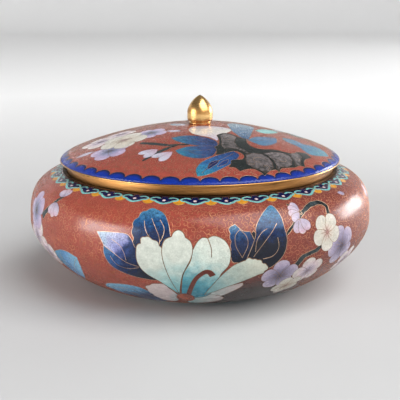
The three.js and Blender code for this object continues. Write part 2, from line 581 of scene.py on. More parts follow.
PETAL_STOPS = [(0.02, "4fadb8"), (0.22, "86c4c8"), (0.46, "b9dcd8"), (0.7, "dfe5d9"), (1, PETAL_WHITE)]
HEART = (-10.4, 27.5)


def flower(draw):
    """The large white flower, open upwards, its heart low on the bowl."""
    # The two petals that lie lowest come first, so the upper ones cover their roots.
    draw.petal(ruffle(smooth([
        (-12, 26), (-15.5, 35), (-20, 41.2), (-24.4, 41), (-27.4, 39.6), (-30.2, 37.4), (-30.6, 33),
        (-28.5, 26), (-25, 18), (-17, 17),
    ], corners=(0,)), 0.2, 0.65, 5, 0.7), fade(HEART, (-30, 34), [
        (0.1, "b9cccc"), (0.4, "dcc9c8"), (1, "e6d6d2")], grain=0.15), PETAL_WIRE)
    draw.petal(smooth([
        (-9, 25), (-4, 30), (4, 33), (11.8, 38.6), (22.8, 42.6), (23.4, 39.5), (18.6, 34), (10.6, 27.6),
    ], corners=(0, 4)), fade(HEART, (23, 42), [
        (0.1, TURQUOISE), (0.4, "bdcdca"), (1, "dcc8c4")], grain=0.15), PETAL_WIRE)
    draw.petal(smooth([
        (-9, 26), (-4, 28), (2.7, 30.4), (10, 30), (15.6, 24.8), (12, 19), (2, 13), (-7, 11.5),
    ], corners=(0, 4)), fade(HEART, (14, 24), [
        (0, TURQUOISE), (0.35, "b4cfcd"), (1, "dccac6")], grain=0.15), PETAL_WIRE)

    right = smooth([
        (2.6, 30.8), (4.6, 37), (9.7, 47.6), (15.4, 54.4), (20, 56.8), (24.6, 58), (26.8, 57.2),
        (29.4, 56.8), (31.6, 54.8), (34.2, 53), (33.4, 50.4), (30.4, 48), (22.9, 43.9), (14.4, 39.2),
        (8, 34.4),
    ], corners=(0, 1))
    left = smooth([
        (-12.2, 31), (-20, 42.4), (-27.7, 49.3), (-31.2, 55), (-32, 60.8), (-30.8, 64.4), (-29.4, 65.6),
        (-28.8, 68.2), (-26.6, 68.9), (-24.4, 68), (-22.2, 67.2), (-20.4, 65.6), (-18.6, 62), (-17, 54),
        (-14, 42),
    ], corners=(0, 6, 9))
    middle = smooth([
        (-11.8, 31), (-14.4, 42), (-16.8, 52), (-18.6, 60), (-18.6, 64.6), (-17.2, 68.2), (-14, 69.8),
        (-13, 72), (-10.6, 73.2), (-8.2, 71.8), (-7.2, 69.6), (-4.6, 67.6), (-3.6, 64), (-4.4, 59.4),
        (-8.6, 50), (-10.6, 40),
    ], corners=(0, 6, 10))
    broad = smooth([
        (-11, 30), (-10, 40), (-8.4, 50), (-4.6, 58), (-3.6, 63), (-1.4, 67.4), (1.2, 69.6), (3.8, 69.2),
        (6.6, 70.4), (10, 69.4), (13, 67), (15, 62), (14.2, 55.6), (10.2, 49.2), (9, 40), (4, 29), (-4, 26),
    ], corners=(0, 7))
    draw.petal(broad, fade(HEART, (6, 68), [
        (0.02, TURQUOISE), (0.3, "3a93a9"), (0.46, "68afba"), (0.58, "a2cdce"), (0.76, "d6e3d8"),
        (1, PETAL_WHITE)], drift=0.14, size=3.0, grain=0.25), PETAL_WIRE)
    draw.line([(3.8, 69.2), (5.4, 64.5), (5.6, 59.8)], PETAL_WIRE, "bronze")
    draw.petal(ruffle(right, 0.4, 0.62, 6, 0.8), fade((2, 33), (30, 55), [
        (0, "6fb4bc"), (0.3, "a2cac9"), (0.65, "c6d4c8"), (1, "dcdecd")],
        drift=0.14, grain=0.15), PETAL_WIRE)
    draw.petal(ruffle(left, 0.42, 0.66, 5, 0.6), fade(HEART, (-27, 68), PETAL_STOPS, drift=0.1, grain=0.15),
               PETAL_WIRE)
    draw.petal(middle, fade(HEART, (-10, 73), PETAL_STOPS, drift=0.12, grain=0.15), PETAL_WIRE)

    draw.petal(band([(-8, 24), (-5.6, 36), (-2.4, 46.4), (2, 51.4), (4.8, 51.4), (6.4, 49)],
                    [4.6, 2.8, 2.5, 2.3, 2.4, 3.2]), plain(STEM_RED, 0.15))
    draw.petal(round_cell((HEART[0] + 1.4, HEART[1] - 2), 11.5, 13), fade((-15, 22), (-4, 30), [
        (0, STEM_RED), (0.4, "b0593c"), (1, STEM_RED)], drift=0.3, size=1.6, grain=0.6))


def right_spray(draw):
    """Plum blossom on a hooked twig, at the flower's right."""
    twig(draw, [(44.6, 68.4), (49.5, 72.8), (54.4, 76.7), (60, 79.8), (65.7, 81.9), (72.4, 81.8),
                (75.2, 78.8), (73.6, 72.5)], [0.9, 1.4, 1.8, 1.9, 2.5, 2.4, 2.2, 2.0])
    twig(draw, [(56, 77.6), (54, 81.4), (50, 84.4)], [1.2, 0.8, 0.5])
    twig(draw, [(67.6, 60), (63.5, 57.6), (59.8, 56.8), (54.6, 55.1), (51, 50)], [1.0, 2.2, 1.8, 2.8, 3.6])
    plum_bud(draw, (55, 78.6), (48.4, 80.8), 7.4, BUD_STOPS, lobes=4)
    plum_bud(draw, (54, 75.4), (54.8, 67.4), 8.4, BUD_STOPS, lobes=3)
    plum_blossom(draw, (84, 56), 11.5, 0.35, LILAC_STOPS)
    plum_blossom(draw, (98, 42), 10, 0.9, PINK_STOPS)
    plum_blossom(draw, (71.3, 65.7), 10.2, 0.62, WHITE_STOPS)
    plum_blossom(draw, (43.4, 44.6), 11, 0.1, LILAC_STOPS)
    plum_blossom(draw, (62.2, 44.2), 10, 0.3, PINK_STOPS)
    plum_blossom(draw, (53.8, 32.3), 9.8, 0.5, CREAM_STOPS)
    draw.petal(blade((93.5, 84.4), (99.5, 82.4), 3.2), plain(LILAC))


def left_spray(draw):
    """Blossom that falls down the bowl's left side."""
    twig(draw, [(-87.5, 84.5), (-90.8, 80.6), (-94.6, 75.6), (-102.5, 68)], [1.2, 2.0, 2.6, 3.4])
    plum_bud(draw, (-90.4, 81.6), (-91.6, 88.4), 8.0, BUD_STOPS, lobes=3)
    plum_bud(draw, (-91.4, 78), (-91.6, 69.6), 8.4, BUD_STOPS, lobes=3)
    plum_blossom(draw, (-112, 55), 12.6, 0.5, PINK_STOPS)
    plum_blossom(draw, (-101, 47), 10, 0.1, PINK_STOPS)
    plum_blossom(draw, (-113.5, 68.8), 11.4, 0.2, LID_LILAC_STOPS)


def side_spray(draw):
    """A small spray on the bowl's right side, which the front doesn't show."""
    twig(draw, [(138, 26), (146, 38), (150, 50), (160, 62), (170, 76)], [3.0, 2.6, 2.2, 1.8, 0.8])
    twig(draw, [(150, 50), (142, 60), (136, 72)], [1.8, 1.6, 0.8])
    plum_bud(draw, (170, 76), (173, 83.5), 7.4, BUD_STOPS)
    plum_bud(draw, (136, 72), (133, 79.5), 7.4, BUD_STOPS)
    plum_blossom(draw, (165, 54), 10.4, 0.4, PINK_STOPS)
    plum_blossom(draw, (146, 40), 11, 0.1, CREAM_STOPS)
    plum_blossom(draw, (160, 33), 9.4, 0.8, LILAC_STOPS)


# Border under the collar: cloud heads with amber lappets between them.
HEAD_COUNT = 34
BORDER_TOP = 95.3
STRIP_FOOT = 92.2
SEAM_MARGIN = 0.02
BORDER_STEP = 0.7


def mirrored(half, middle, foot):
    """A closed outline from its right half and the foot of its middle line."""
    right = [(middle + x, y) for x, y in half]
    left = [(middle - x, y) for x, y in reversed(half)]
    return [(middle, foot), *right, *left]


def cloud_border(picture, low_x, span):
    pitch = span / HEAD_COUNT
    navy = plain(BORDER_NAVY, 0.2)
    aqua = plain(AQUA, 0.12)
    strip = np.linspace(low_x + SEAM_MARGIN, low_x + span - SEAM_MARGIN, HEAD_COUNT * 6 + 1)
    # A near-black navy strip lies behind the heads, and along the border's top it is painted shade under
    # the collar.
    picture.cell(np.vstack([
        np.column_stack([strip, np.full(len(strip), STRIP_FOOT)]),
        np.column_stack([strip[::-1], np.full(len(strip), BORDER_TOP)]),
    ]), plain(NAVY), 0)
    for k in range(1, HEAD_COUNT):
        x = low_x + k * pitch
        picture.cell(smooth([
            (x - 3.6, 91), (x - 2.8, 88.8), (x, 87.6), (x + 2.8, 88.8), (x + 3.6, 91), (x, 92.5),
        ], step=BORDER_STEP), plain(AMBER, 0.1), GROUND_WIRE)
    for k in range(HEAD_COUNT):
        x = low_x + (k + 0.5) * pitch
        outer = [(3.8, 88.9), (5.6, 90.1), (7.9, 90.7), (9.0, 92), (8.1, 93.4), (5.5, 94.3), (3.1, 93.9),
                 (1.9, 92.8)]
        inner = [(3.4, 90.2), (5.2, 91.3), (7.2, 91.6), (7.6, 92.5), (5.4, 93.3), (3.4, 92.7), (2.0, 93.2),
                 (1.6, 94.7)]
        picture.cell(smooth(mirrored(outer, x, 87.8), step=BORDER_STEP), aqua, 0)
        picture.cell(smooth(mirrored(inner, x, 89.1), step=BORDER_STEP), navy, GROUND_WIRE)
        picture.cell(round_cell((x, 91.2), 2.2, 1.7, step=0.5), plain(PETAL_PINK, 0.0), GROUND_WIRE)


# The bowl's strip: where it starts, how wide it is, and where the flower at the back stands.
SEAM_X = -1.6 * BELLY_RADIUS
STRIP = 2 * math.pi * BELLY_RADIUS
BACK_X = 3.15 * BELLY_RADIUS

# Each flower's place across the strip, and -1 where it is a mirror image.
FLOWER_PLACES = ((0, 1), (BACK_X, -1))

# How its ground is darkened with painted shade beside each flower: maroon to the right, brown low down,
# where the scrolls stop.
BROWN_SHADE_PLACE = (34, 22)
BROWN_SHADE_REACH = (44, 30)
BROWN_SHADE_CORE = 1.6
BROWN_SHADE_FALL = 1.3
SCROLLS_SHADE_END = 0.6
MAROON_SHADE_START = -25
MAROON_SHADE_REACH = 90
MAROON_SHADE_STRENGTH = 0.8
MAROON_SHADE_END = 2.4


def brown_shade_share(flat):
    """How strong the painted brown shade is: it darkens the ground low on the bowl, to the right of each
    flower.
    """
    share = np.zeros(len(flat))
    for x, flip in FLOWER_PLACES:
        place = np.array([x + flip * BROWN_SHADE_PLACE[0], BROWN_SHADE_PLACE[1]])
        away = np.hypot(*((flat - place) / BROWN_SHADE_REACH).T)
        share = np.maximum(share, np.clip(BROWN_SHADE_CORE - BROWN_SHADE_FALL * away, 0, 1))
    return share


def bowl_ground_and_shade(flat):
    """Terracotta, with painted shade that turns it maroon to the right of each flower and brown low down.
    """
    tint = plain(TERRACOTTA, 0.08)(flat)
    for x, flip in FLOWER_PLACES:
        across = (flip * (flat[:, 0] - x) - MAROON_SHADE_START) / MAROON_SHADE_REACH
        share = MAROON_SHADE_STRENGTH * np.clip(across, 0, 1) * np.clip(MAROON_SHADE_END - across, 0, 1)
        share = share[:, None]
        tint[:, :3] = tint[:, :3] * (1 - share) + linear(SHADE_MAROON) * share
    brown_shade = brown_shade_share(flat)[:, None]
    tint[:, :3] = tint[:, :3] * (1 - brown_shade) + linear(SHADE_BROWN) * brown_shade
    return tint


def paint_bowl(sheet):
    picture = Picture(sheet, bowl_ground_and_shade)
    for x, flip in FLOWER_PLACES:
        draw = Placed(picture, x, flip)
        big_leaves(draw)
        low_leaves(draw)
        flower(draw)
        right_spray(draw)
        if flip > 0:
            left_spray(draw)
            side_spray(draw)
    cloud_border(picture, SEAM_X, STRIP)
    return picture


# The lid: its scalloped edge, and a rock with leaves and blossom.
SCALLOPS = 50
SCALLOP_FOOT = 82.2
SCALLOP_RISE = 3.4
CREST_START = 0.3
CREST_WIDTH = 2.2


def scallop_edge(azimuth):
    """Arc length from the crown at which the blue border starts."""
    return SCALLOP_FOOT - SCALLOP_RISE * np.sqrt(np.abs(np.sin(azimuth * SCALLOPS / 2)))


def border_tint(flat):
    azimuth = np.arctan2(flat[:, 0], -flat[:, 1])
    depth = np.hypot(flat[:, 0], flat[:, 1]) - scallop_edge(azimuth)
    share = np.clip((depth - CREST_START) / CREST_WIDTH, 0, 1)[:, None]
    shade = linear(NAVY) * (1 - share) + linear(COBALT) * share
    return np.column_stack([shade, np.full(len(flat), 0.3)])


def lid_rock(draw):
    """A weathered rock: a dark spiky mass, with greyer faces that run into it."""
    body = smooth([
        (9.1, -28.7), (12.8, -24.3), (17.1, -24.3), (22.8, -29.4), (26.1, -29.9), (26.1, -36.2),
        (28.8, -41.2), (34, -42.6), (40.6, -39.9), (50.3, -39.7), (54.6, -35.1), (59.9, -32.5),
        (62.7, -37.8), (58.8, -42.9), (57.2, -48.5), (57.6, -53.5), (54.5, -54.2), (51.6, -57.5),
        (46.6, -60.5), (43.6, -62.4), (42, -67.3), (40.5, -65.1), (37.3, -67.2), (34, -72.7),
        (32, -70.5), (28.6, -68.2), (24.5, -69.2), (20.9, -72), (18.4, -68.7), (14.9, -68.8),
        (16.3, -65.1), (16.9, -61.1), (22.3, -58.9), (23.6, -54.9), (21.5, -51.1), (17.9, -50.2),
        (12.2, -54.4), (8.1, -56.5), (9, -50.9), (7.8, -46.5), (10.2, -42.4), (10.4, -36),
    ], corners=(0, 4, 11, 12, 15, 17, 20, 23, 27, 29, 37, 39))
    draw.cell(body, fade((10, -30), (60, -60), [
        (0, ROCK_DARK), (0.3, "252a29"), (0.5, ROCK_DARK), (1, "252a29")], drift=0.5, size=3, grain=0.8),
        FINE_WIRE)
    for points, corners in (
        ([(10.6, -29.6), (13.4, -25.4), (17.1, -25.2), (20.6, -29.2), (19.4, -36.2), (20.6, -43),
          (24.6, -47.4), (27.4, -51), (24.8, -51.4), (21.4, -48.4), (17, -47.2), (12.8, -48.2), (11.4, -43),
          (11.6, -35.8)],
         (0, 7, 11)),
        ([(24.4, -53), (29.4, -49.6), (34.8, -50.2), (38.4, -55.4), (39.4, -62), (38, -66.4), (34.4, -70.2),
          (31.6, -68.6), (27.4, -66.4), (24.4, -62.2)], (0, 4, 6)),
        ([(34.4, -47.6), (41.4, -43), (47, -42.4), (50.6, -46.8), (49.4, -56.6), (46.4, -60), (43, -61.6),
          (42.4, -65.4), (40.8, -63.6), (40, -56.6), (37.4, -51.4)], (0, 2, 7)),
        ([(49.4, -41.6), (53.8, -37), (56.6, -40.4), (55.6, -47.7), (55.4, -53), (51.4, -56.4),
          (51.4, -50.4)], (1, 4)),
    ):
        draw.petal(ruffle(smooth(points, corners=corners), 0, 1, 11, -0.5), fade(points[1], points[-3], [
            (0, ROCK_TAUPE), (0.3, ROCK_GREY), (0.5, "454140"), (0.7, ROCK_TAUPE), (1, "393837")],
            drift=0.9, size=2.2, grain=0.9))
    for centre, size, turn in (((31.5, -58), 4.6, 0.4), ((28, -61.5), 2.6, 2.0), ((15.6, -33), 3.0, 1.0),
                               ((44.6, -51), 3.6, 3.6), ((35, -64), 2.4, 5.2), ((53.4, -45), 2.4, 4.0)):
        angle = np.linspace(0, 1.5 * math.pi, 6) + turn
        radius = np.linspace(1, 0.35, 6) * size
        draw.line(np.stack([centre[0] + radius * np.cos(angle), centre[1] + radius * np.sin(angle)], 1))


LID_BUD_STOPS = [(0, BUD_PINK), (0.4, PALE_LILAC), (0.8, "d5d6e6"), (1, BUD_PINK)]


def lid_front(draw):
    """What the lid shows from the front, left to right."""
    blue = fade((-16, -46), (9, -42), [
        (0, "2f86a0"), (0.35, "2d6189"), (0.7, "34497a"), (1, "1d3563")], drift=0.25, size=2.6, grain=0.8)
    draw.petal(smooth([
        (-5, -25), (-0.8, -29.6), (5.2, -32.6), (9.6, -37.8), (11.4, -30), (18, -17), (15.8, -12),
        (6, -9), (-3, -10), (-6.4, -17),
    ], corners=(3,)), fade((0, -10), (6, -36), [
        (0, "bcb3c4"), (0.5, BLOSSOM_WHITE), (1, PALE_LILAC)]))
    draw.cell(smooth([
        (-16.4, -31.6), (-8, -29.4), (0, -31), (8.3, -37.4), (9.2, -44.6), (2.7, -46), (-6, -43),
        (-12.4, -38),
    ], corners=(0,)), blue)
    draw.line([(-14, -32.4), (-6, -35.4), (4, -40)])
    draw.cell(smooth([
        (-13.4, -50.4), (-7, -46.2), (2.7, -45.4), (9.2, -46), (8.6, -52), (6.4, -57.6), (1, -60.6),
        (-5.9, -59.2), (-11, -55),
    ], corners=(0,)), blue)
    draw.line([(-11.6, -50.8), (-3, -51.6), (6, -50)])
    draw.line([(-6, -51.4), (-2, -55.6), (3, -57)])
    draw.cell(smooth([
        (-1.4, -78.4), (-2.2, -72.6), (-0.6, -67.2), (3.2, -62), (11.6, -54.8), (18.2, -50.2), (21, -55),
        (16.8, -64.4), (9, -73), (3.2, -77.2),
    ], corners=(0, 5)), fade((0, -76), (18, -54), [
        (0, "2f7f9a"), (0.35, "2a6294"), (0.7, "2b5088"), (1, "1c3c70")], drift=0.24, size=2.4, grain=1.0))
    draw.cell(blade((4.2, -71.5), (10, -62), 3.4, bend=0.6), plain("14265c", 0.3), FINE_WIRE)
    draw.cell(blade((9, -69), (15, -60.5), 2.8, bend=-0.6), plain("1c3c78", 0.3), FINE_WIRE)
    draw.line([(1, -75.6), (6, -67), (12, -60.4), (18, -53)])

    draw.cell(smooth([(26.6, -32), (31.8, -23.2), (44, -16.5), (43, -28), (35, -37)], corners=(0, 2)),
              fade((28, -34), (44, -18), [(0, "3f7698"), (0.5, "4a749a"), (1, "2f5a84")],
                   drift=0.2, grain=0.8))
    draw.line([(28, -32), (36, -27), (42.6, -18.6)])
    draw.cell(smooth([
        (47.2, -13), (54, -9.8), (61, -14), (68, -10), (73, -14), (75, -23), (69, -29), (62, -32.6),
        (56, -24), (50, -20),
    ], corners=(0, 2, 5)), fade((48, -14), (74, -24), [
        (0, "4b7f9c"), (0.5, "41749a"), (1, "4a93a6")], drift=0.2, grain=0.8))
    draw.line([(49, -14), (58, -19), (66, -22.6), (72, -22.6)])
    draw.cell(smooth([(32, -8), (37, 2), (43.6, 8), (46.6, 3), (43, -6), (36.4, -12)], corners=(0, 2)),
              plain(AQUA))
    draw.cell(blade((45.6, 9), (51, 24), 8), fade((45, 9), (51, 24), [(0, "8fb4c0"), (1, PALE_LILAC)]))
    draw.cell(blade((54, 8), (65, 15), 7.4), plain("4f93a0", 0.2))
    draw.cell(blade((-18, 3), (-8.4, -6.4), 7.6),
              fade((-18, 3), (-8, -6), [(0, "6f98a6"), (1, PALE_LILAC)]))
    draw.cell(smooth([
        (15.7, 1.2), (21.3, 9), (31.3, 4), (31.3, -5.2), (29.3, -19), (27.1, -31.1), (22.9, -28.7),
        (20.4, -23.5), (17.9, -16.4),
    ], corners=(0, 5)), fade((15, 2), (26, -28), [
        (0, "7f9cac"), (0.4, "557896"), (1, "3c5f84")], drift=0.2, grain=0.7))
    lid_rock(draw)

    twig(draw, [(-6, -43.4), (-12, -42.8), (-17, -42.6), (-24, -39), (-33, -34)], [1.2, 1.8, 2.6, 3.0, 2.0])
    twig(draw, [(-12, -43.4), (-16.4, -45.8), (-23.5, -51.6), (-30.6, -58.6)], [1.0, 2.4, 2.6, 1.0])
    plum_bud(draw, (-22.8, -46.6), (-32.4, -52.6), 8.4, LID_BUD_STOPS, lobes=2)
    plum_bud(draw, (-14.8, -51.6), (-24.2, -59.2), 8.4, LID_BUD_STOPS, lobes=2)
    plum_blossom(draw, (-58, -11.5), 12, 0.3, PINK_STOPS)
    plum_blossom(draw, (-47, -4), 9.5, 0.9, PINK_STOPS)
    plum_blossom(draw, (-50.4, -36.4), 11.5, 0.1, LID_LILAC_STOPS)
    plum_blossom(draw, (-28, -17.5), 9.6, 0.5, LID_LILAC_STOPS)
    plum_blossom(draw, (-43.6, -22.4), 14, 0.75, CREAM_STOPS)
    draw.petal(blade((-19.4, -17.6), (-10.4, -20.4), 4.4), plain(PALE_LILAC))
    draw.petal(blade((-71.6, -30.4), (-60, -29.4), 5), plain(PALE_LILAC))


def lid_back(draw):
    """Plainer sprays on the side of the lid that the front doesn't show."""
    twig(draw, [(20, 24), (6, 34), (-10, 40), (-28, 50), (-40, 50)], [2.4, 3.2, 2.8, 2.2, 1.0])
    twig(draw, [(6, 34), (4, 46), (-2, 58), (-4, 66)], [2.2, 2.4, 1.8, 1.0])
    plum_blossom(draw, (-30, 30), 12, 0.2, LILAC_STOPS)
    plum_blossom(draw, (10, 52), 12.5, 0.6, CREAM_STOPS)
    plum_blossom(draw, (-18, 60), 10.5, 0.1, PINK_STOPS)
    plum_blossom(draw, (30, 34), 11, 0.4, PINK_STOPS)
    plum_bud(draw, (-40, 50), (-48, 49), 7, LID_BUD_STOPS)
    plum_bud(draw, (-4, 66), (-6, 73), 7, LID_BUD_STOPS)
    for base, tip, width in (((34, 48), (46, 60), 11), ((40, 40), (60, 44), 12), ((-52, 28), (-68, 34), 11),
                             ((46, 22), (66, 14), 12)):
        draw.cell(blade(base, tip, width, bend=1.5, full=0.45), fade(base, tip, [
            (0, DEEP_BLUE), (0.5, BLUE), (1, SKY)], drift=0.2, size=2.6, grain=0.9))
        draw.line([base, tip])


def paint_lid(sheet):
    picture = Picture(sheet, border_tint)
    azimuth = np.linspace(-math.pi, math.pi, SCALLOPS * 14, endpoint=False)
    arc = scallop_edge(azimuth)
    field = np.stack([arc * np.sin(azimuth), -arc * np.cos(azimuth)], 1)
    picture.cell(field, plain(TERRACOTTA, 0.08), FINE_WIRE)
    lid_back(picture)
    lid_front(picture)
    return picture


# The ground: scrolls of fine wire wherever no picture lies.
SCROLL_PITCH = 3.7
SCROLL_ROWS = 0.8
SCROLL_SEED = 7


def scroll(size, turn, hand, waist):
    """One cloud scroll: a hook that winds in, with a tail that winds the other way."""
    t = np.linspace(0, 1, 9)[1:]
    angle = t * 2 * math.pi * 0.95
    radius = size * (0.5 - 0.34 * t)
    hook = np.stack([radius * np.cos(angle), radius * np.sin(angle)], 1)
    tail_angle = np.linspace(0, 1, 4) * math.pi * 0.8
    tail_radius = size * 0.3
    tail = np.stack([
        size * 0.5 + tail_radius - tail_radius * np.cos(tail_angle),
        -tail_radius * np.sin(tail_angle) * waist,
    ], 1)
    line = np.vstack([tail[::-1], hook])
    line[:, 1] *= hand
    c, s = math.cos(turn), math.sin(turn)
    return line @ np.array([[c, s], [-s, c]])


def scroll_ground(picture, low, high, level, wire, keep):
    """The lines of scrolls over the whole sheet, cut where cells after level cover them."""
    ground = Picture(picture.sheet, None)
    ground.cells = picture.cells
    chance = random.Random(SCROLL_SEED)
    y = low[1] + SCROLL_PITCH / 2
    row = 0
    while y < high[1] - SCROLL_PITCH / 3:
        across = picture.sheet.across(y)
        pitch = SCROLL_PITCH / across
        count = max(1, int((high[0] - low[0]) / pitch))
        for k in range(count):
            x = low[0] + (k + 0.5 + 0.5 * (row % 2)) * (high[0] - low[0]) / (count + 1)
            middle = np.array([x + chance.uniform(-0.5, 0.5), y + chance.uniform(-0.5, 0.5)])
            line = scroll(
                SCROLL_PITCH * chance.uniform(0.8, 0.98),
                chance.uniform(0, 2 * math.pi),
                chance.choice((-1, 1)),
                chance.uniform(0.7, 1.2),
            )
            line = line / np.array([across, 1.0]) + middle
            if keep(line).all():
                ground.wires.append((line, wire, "copper", level))
        y += SCROLL_PITCH * SCROLL_ROWS
        row += 1
    return list(ground.visible_wires("copper"))


# Meshes.

def make_mesh(name, places, faces, normals=None):
    mesh = bpy.data.meshes.new(name)
    mesh.from_pydata((np.asarray(places) * MM).tolist(), [], [list(map(int, f)) for f in faces])
    mesh.shade_smooth()
    if normals is not None:
        mesh.normals_split_custom_set_from_vertices(np.asarray(normals).tolist())
    piece = bpy.data.objects.new(name, mesh)
    bpy.context.collection.objects.link(piece)
    return piece


def wire_mesh(name, picture, lines):
    """Gilt wires as low ridges, whose feet lie just under the enamel."""
    places, normals, faces = [], [], []
    start = 0
    for flat, width in lines:
        middle, up = picture.sheet.lift(flat)
        along = np.gradient(middle, axis=0)
        length = np.linalg.norm(along, axis=1)
        if (length < 1e-6).any():
            continue
        side = np.cross(up, along / length[:, None])
        left = middle + side * width / 2 - up * WIRE_SUNK
        right = middle - side * width / 2 - up * WIRE_SUNK
        ridge = middle + up * WIRE_PROUD
        count = len(flat)
        places.append(np.vstack([left, ridge, right]))
        normals.append(np.vstack([up + side * 0.7, up, up - side * 0.7]))
        i = np.arange(count - 1) + start
        for a, b in ((i, i + count), (i + count, i + 2 * count)):
            faces.append(np.stack([a, b, b + 1, a + 1], 1))
        start += 3 * count
    normals = np.vstack(normals)
    normals /= np.linalg.norm(normals, axis=1)[:, None]
    return make_mesh(name, np.vstack(places), np.vstack(faces), normals)


def flat_triangles(picture, border, filler, gap):
    """Triangles over the sheet that follow its border and every cell's outline."""
    points = []
    edges = []
    for outline in [border, *(outline for outline, _ in picture.cells)]:
        first = len(points)
        points.extend(map(tuple, outline))
        count = len(outline)
        edges.extend((first + k, first + (k + 1) % count) for k in range(count))
    taken = kdtree.KDTree(len(points))
    for k, (x, y) in enumerate(points):
        taken.insert((x, y, 0), k)
    taken.balance()
    for x, y in filler:
        if taken.find((x, y, 0))[2] > gap:
            points.append((x, y))
    found = delaunay_2d_cdt([Vector(p) for p in points], edges, [], 0, 1e-5)
    return np.array([tuple(v) for v in found[0]]), np.array(found[2])


def filler_grid(low, high, step):
    rows = int((high[1] - low[1]) / (step * 0.87))
    columns = int((high[0] - low[0]) / step)
    for j in range(1, rows):
        y = low[1] + (high[1] - low[1]) * j / rows
        for i in range(columns):
            yield low[0] + (i + 0.5 + 0.5 * (j % 2)) * step, y


def turned_rings(section, steps):
    """Places and quads of a section turned about the axis. A ring at the axis has no width."""
    azimuth = np.linspace(0, 2 * math.pi, steps, endpoint=False) + SEAM_X / BELLY_RADIUS
    turn = np.stack([np.sin(azimuth), -np.cos(azimuth)], 1)
    places = np.concatenate([np.column_stack([turn * r, np.full(steps, z)]) for r, z in section])
    faces = []
    for j in range(len(section) - 1):
        for i in range(steps):
            k = (i + 1) % steps
            faces.append((j * steps + i, j * steps + k, (j + 1) * steps + k, (j + 1) * steps + i))
    return places, faces


def enamel_piece(name, picture, flat, triangles, backing, bare_shaded_rows, finishes):
    """The painted face and its plain backing, welded into one closed skin.
    The backing's first rows are dark bare metal, darkened further as painted shade in the crevice under the
    collar, and the rest is lined."""
    places, _ = picture.sheet.lift(flat)
    back_places, back_faces = turned_rings(backing, RING_STEPS)
    middles = flat[triangles].mean(1)
    owner = np.full(len(triangles), -1)
    for index, (outline, _) in enumerate(picture.cells):
        owner[inside(middles, outline)] = index
    corner_flat = flat[triangles].reshape(-1, 2)
    tints = np.ones((len(triangles) * 3, 4))
    corner_owner = np.repeat(owner, 3)
    for index in np.unique(owner):
        tint = picture.ground if index < 0 else picture.cells[index][1]
        chosen = corner_owner == index
        tints[chosen] = tint(corner_flat[chosen])

    faces = triangles.tolist() + [[len(places) + v for v in face] for face in back_faces]
    piece = make_mesh(name, np.vstack([places, back_places]), faces)
    mesh = piece.data
    colours = np.ones((len(mesh.loops), 4), np.float32)
    colours[:len(tints)] = np.clip(tints, 0, 1)
    layer = mesh.color_attributes.new("tint", "FLOAT_COLOR", "CORNER")
    layer.data.foreach_set("color", colours.ravel())
    slots = np.zeros(len(faces), np.int32)
    slots[len(triangles):] = 1
    slots[len(triangles):len(triangles) + bare_shaded_rows * RING_STEPS] = 2
    mesh.polygons.foreach_set("material_index", slots)
    weld(mesh, SKIN_WELD)
    for finish in finishes:
        mesh.materials.append(finish)
    return piece


# Materials.

class Nodes:
    """A small builder for node trees."""

    def __init__(self, name):
        self.material = bpy.data.materials.new(name)
        self.material.use_nodes = True
        self.tree = self.material.node_tree
        self.tree.nodes.clear()
        self.output = self.add("ShaderNodeOutputMaterial")
        self.shader = self.add("ShaderNodeBsdfPrincipled")
        self.join(self.shader.outputs["BSDF"], self.output.inputs["Surface"])
        self.places = self.add("ShaderNodeTexCoord").outputs["Object"]

    def add(self, kind, **values):
        node = self.tree.nodes.new(kind)
        for key, value in values.items():
            setattr(node, key, value)
        return node

    def join(self, source, target):
        self.tree.links.new(source, target)

    def noise(self, size_mm, detail=3.0, roughness=0.6, stretch=None):
        node = self.add("ShaderNodeTexNoise")
        node.inputs["Scale"].default_value = 1 / (size_mm * MM)
        node.inputs["Detail"].default_value = detail
        node.inputs["Roughness"].default_value = roughness
        source = self.places
        if stretch:
            mapping = self.add("ShaderNodeMapping")
            mapping.inputs["Scale"].default_value = stretch
            self.join(source, mapping.inputs["Vector"])
            source = mapping.outputs["Vector"]
        self.join(source, node.inputs["Vector"])
        return node.outputs["Fac"]

    def span(self, source, low, high, to_low, to_high):
        node = self.add("ShaderNodeMapRange")
        for key, value in (("From Min", low), ("From Max", high), ("To Min", to_low), ("To Max", to_high)):
            node.inputs[key].default_value = value
        self.join(source, node.inputs["Value"])
        return node.outputs["Result"]

    def blend(self, factor, first, second):
        node = self.add("ShaderNodeMix", data_type="RGBA")
        for socket, value in ((node.inputs[0], factor), (node.inputs[6], first), (node.inputs[7], second)):
            if hasattr(value, "links"):
                self.join(value, socket)
            else:
                socket.default_value = value
        return node.outputs[2]

    def bump(self, height, depth_mm, strength):
        node = self.add("ShaderNodeBump")
        node.inputs["Strength"].default_value = strength
        node.inputs["Distance"].default_value = depth_mm * MM
        self.join(height, node.inputs["Height"])
        self.join(node.outputs["Normal"], self.shader.inputs["Normal"])


def rgba(colour):
    return (*linear(colour), 1.0)


def enamel_material():
    """Polished enamel: the cells' tints, clouded and grained, under a glassy skin."""
    n = Nodes("cloisonne_enamel")
    tint = n.add("ShaderNodeVertexColor", layer_name="tint")
    grain = n.span(n.noise(0.8, 5.0, 0.75), 0.32, 0.72, -0.42, 0.9)
    cloud = n.span(n.noise(3.4, 3.0), 0.32, 0.68, 0.5, 0.64)
    both = n.add("ShaderNodeMath", operation="MULTIPLY_ADD")
    n.join(grain, both.inputs[0])
    n.join(tint.outputs["Alpha"], both.inputs[1])
    n.join(cloud, both.inputs[2])
    shade = n.add("ShaderNodeVectorMath", operation="SCALE")
    n.join(tint.outputs["Color"], shade.inputs[0])
    n.join(both.outputs[0], shade.inputs["Scale"])
    n.join(shade.outputs[0], n.shader.inputs["Base Color"])
    n.join(n.span(n.noise(9.0, 2.0), 0.3, 0.7, 0.2, 0.3), n.shader.inputs["Roughness"])
    n.shader.inputs["IOR"].default_value = 1.43
    n.bump(n.noise(2.2, 4.0, 0.65), 0.03, 0.25)
    return n.material


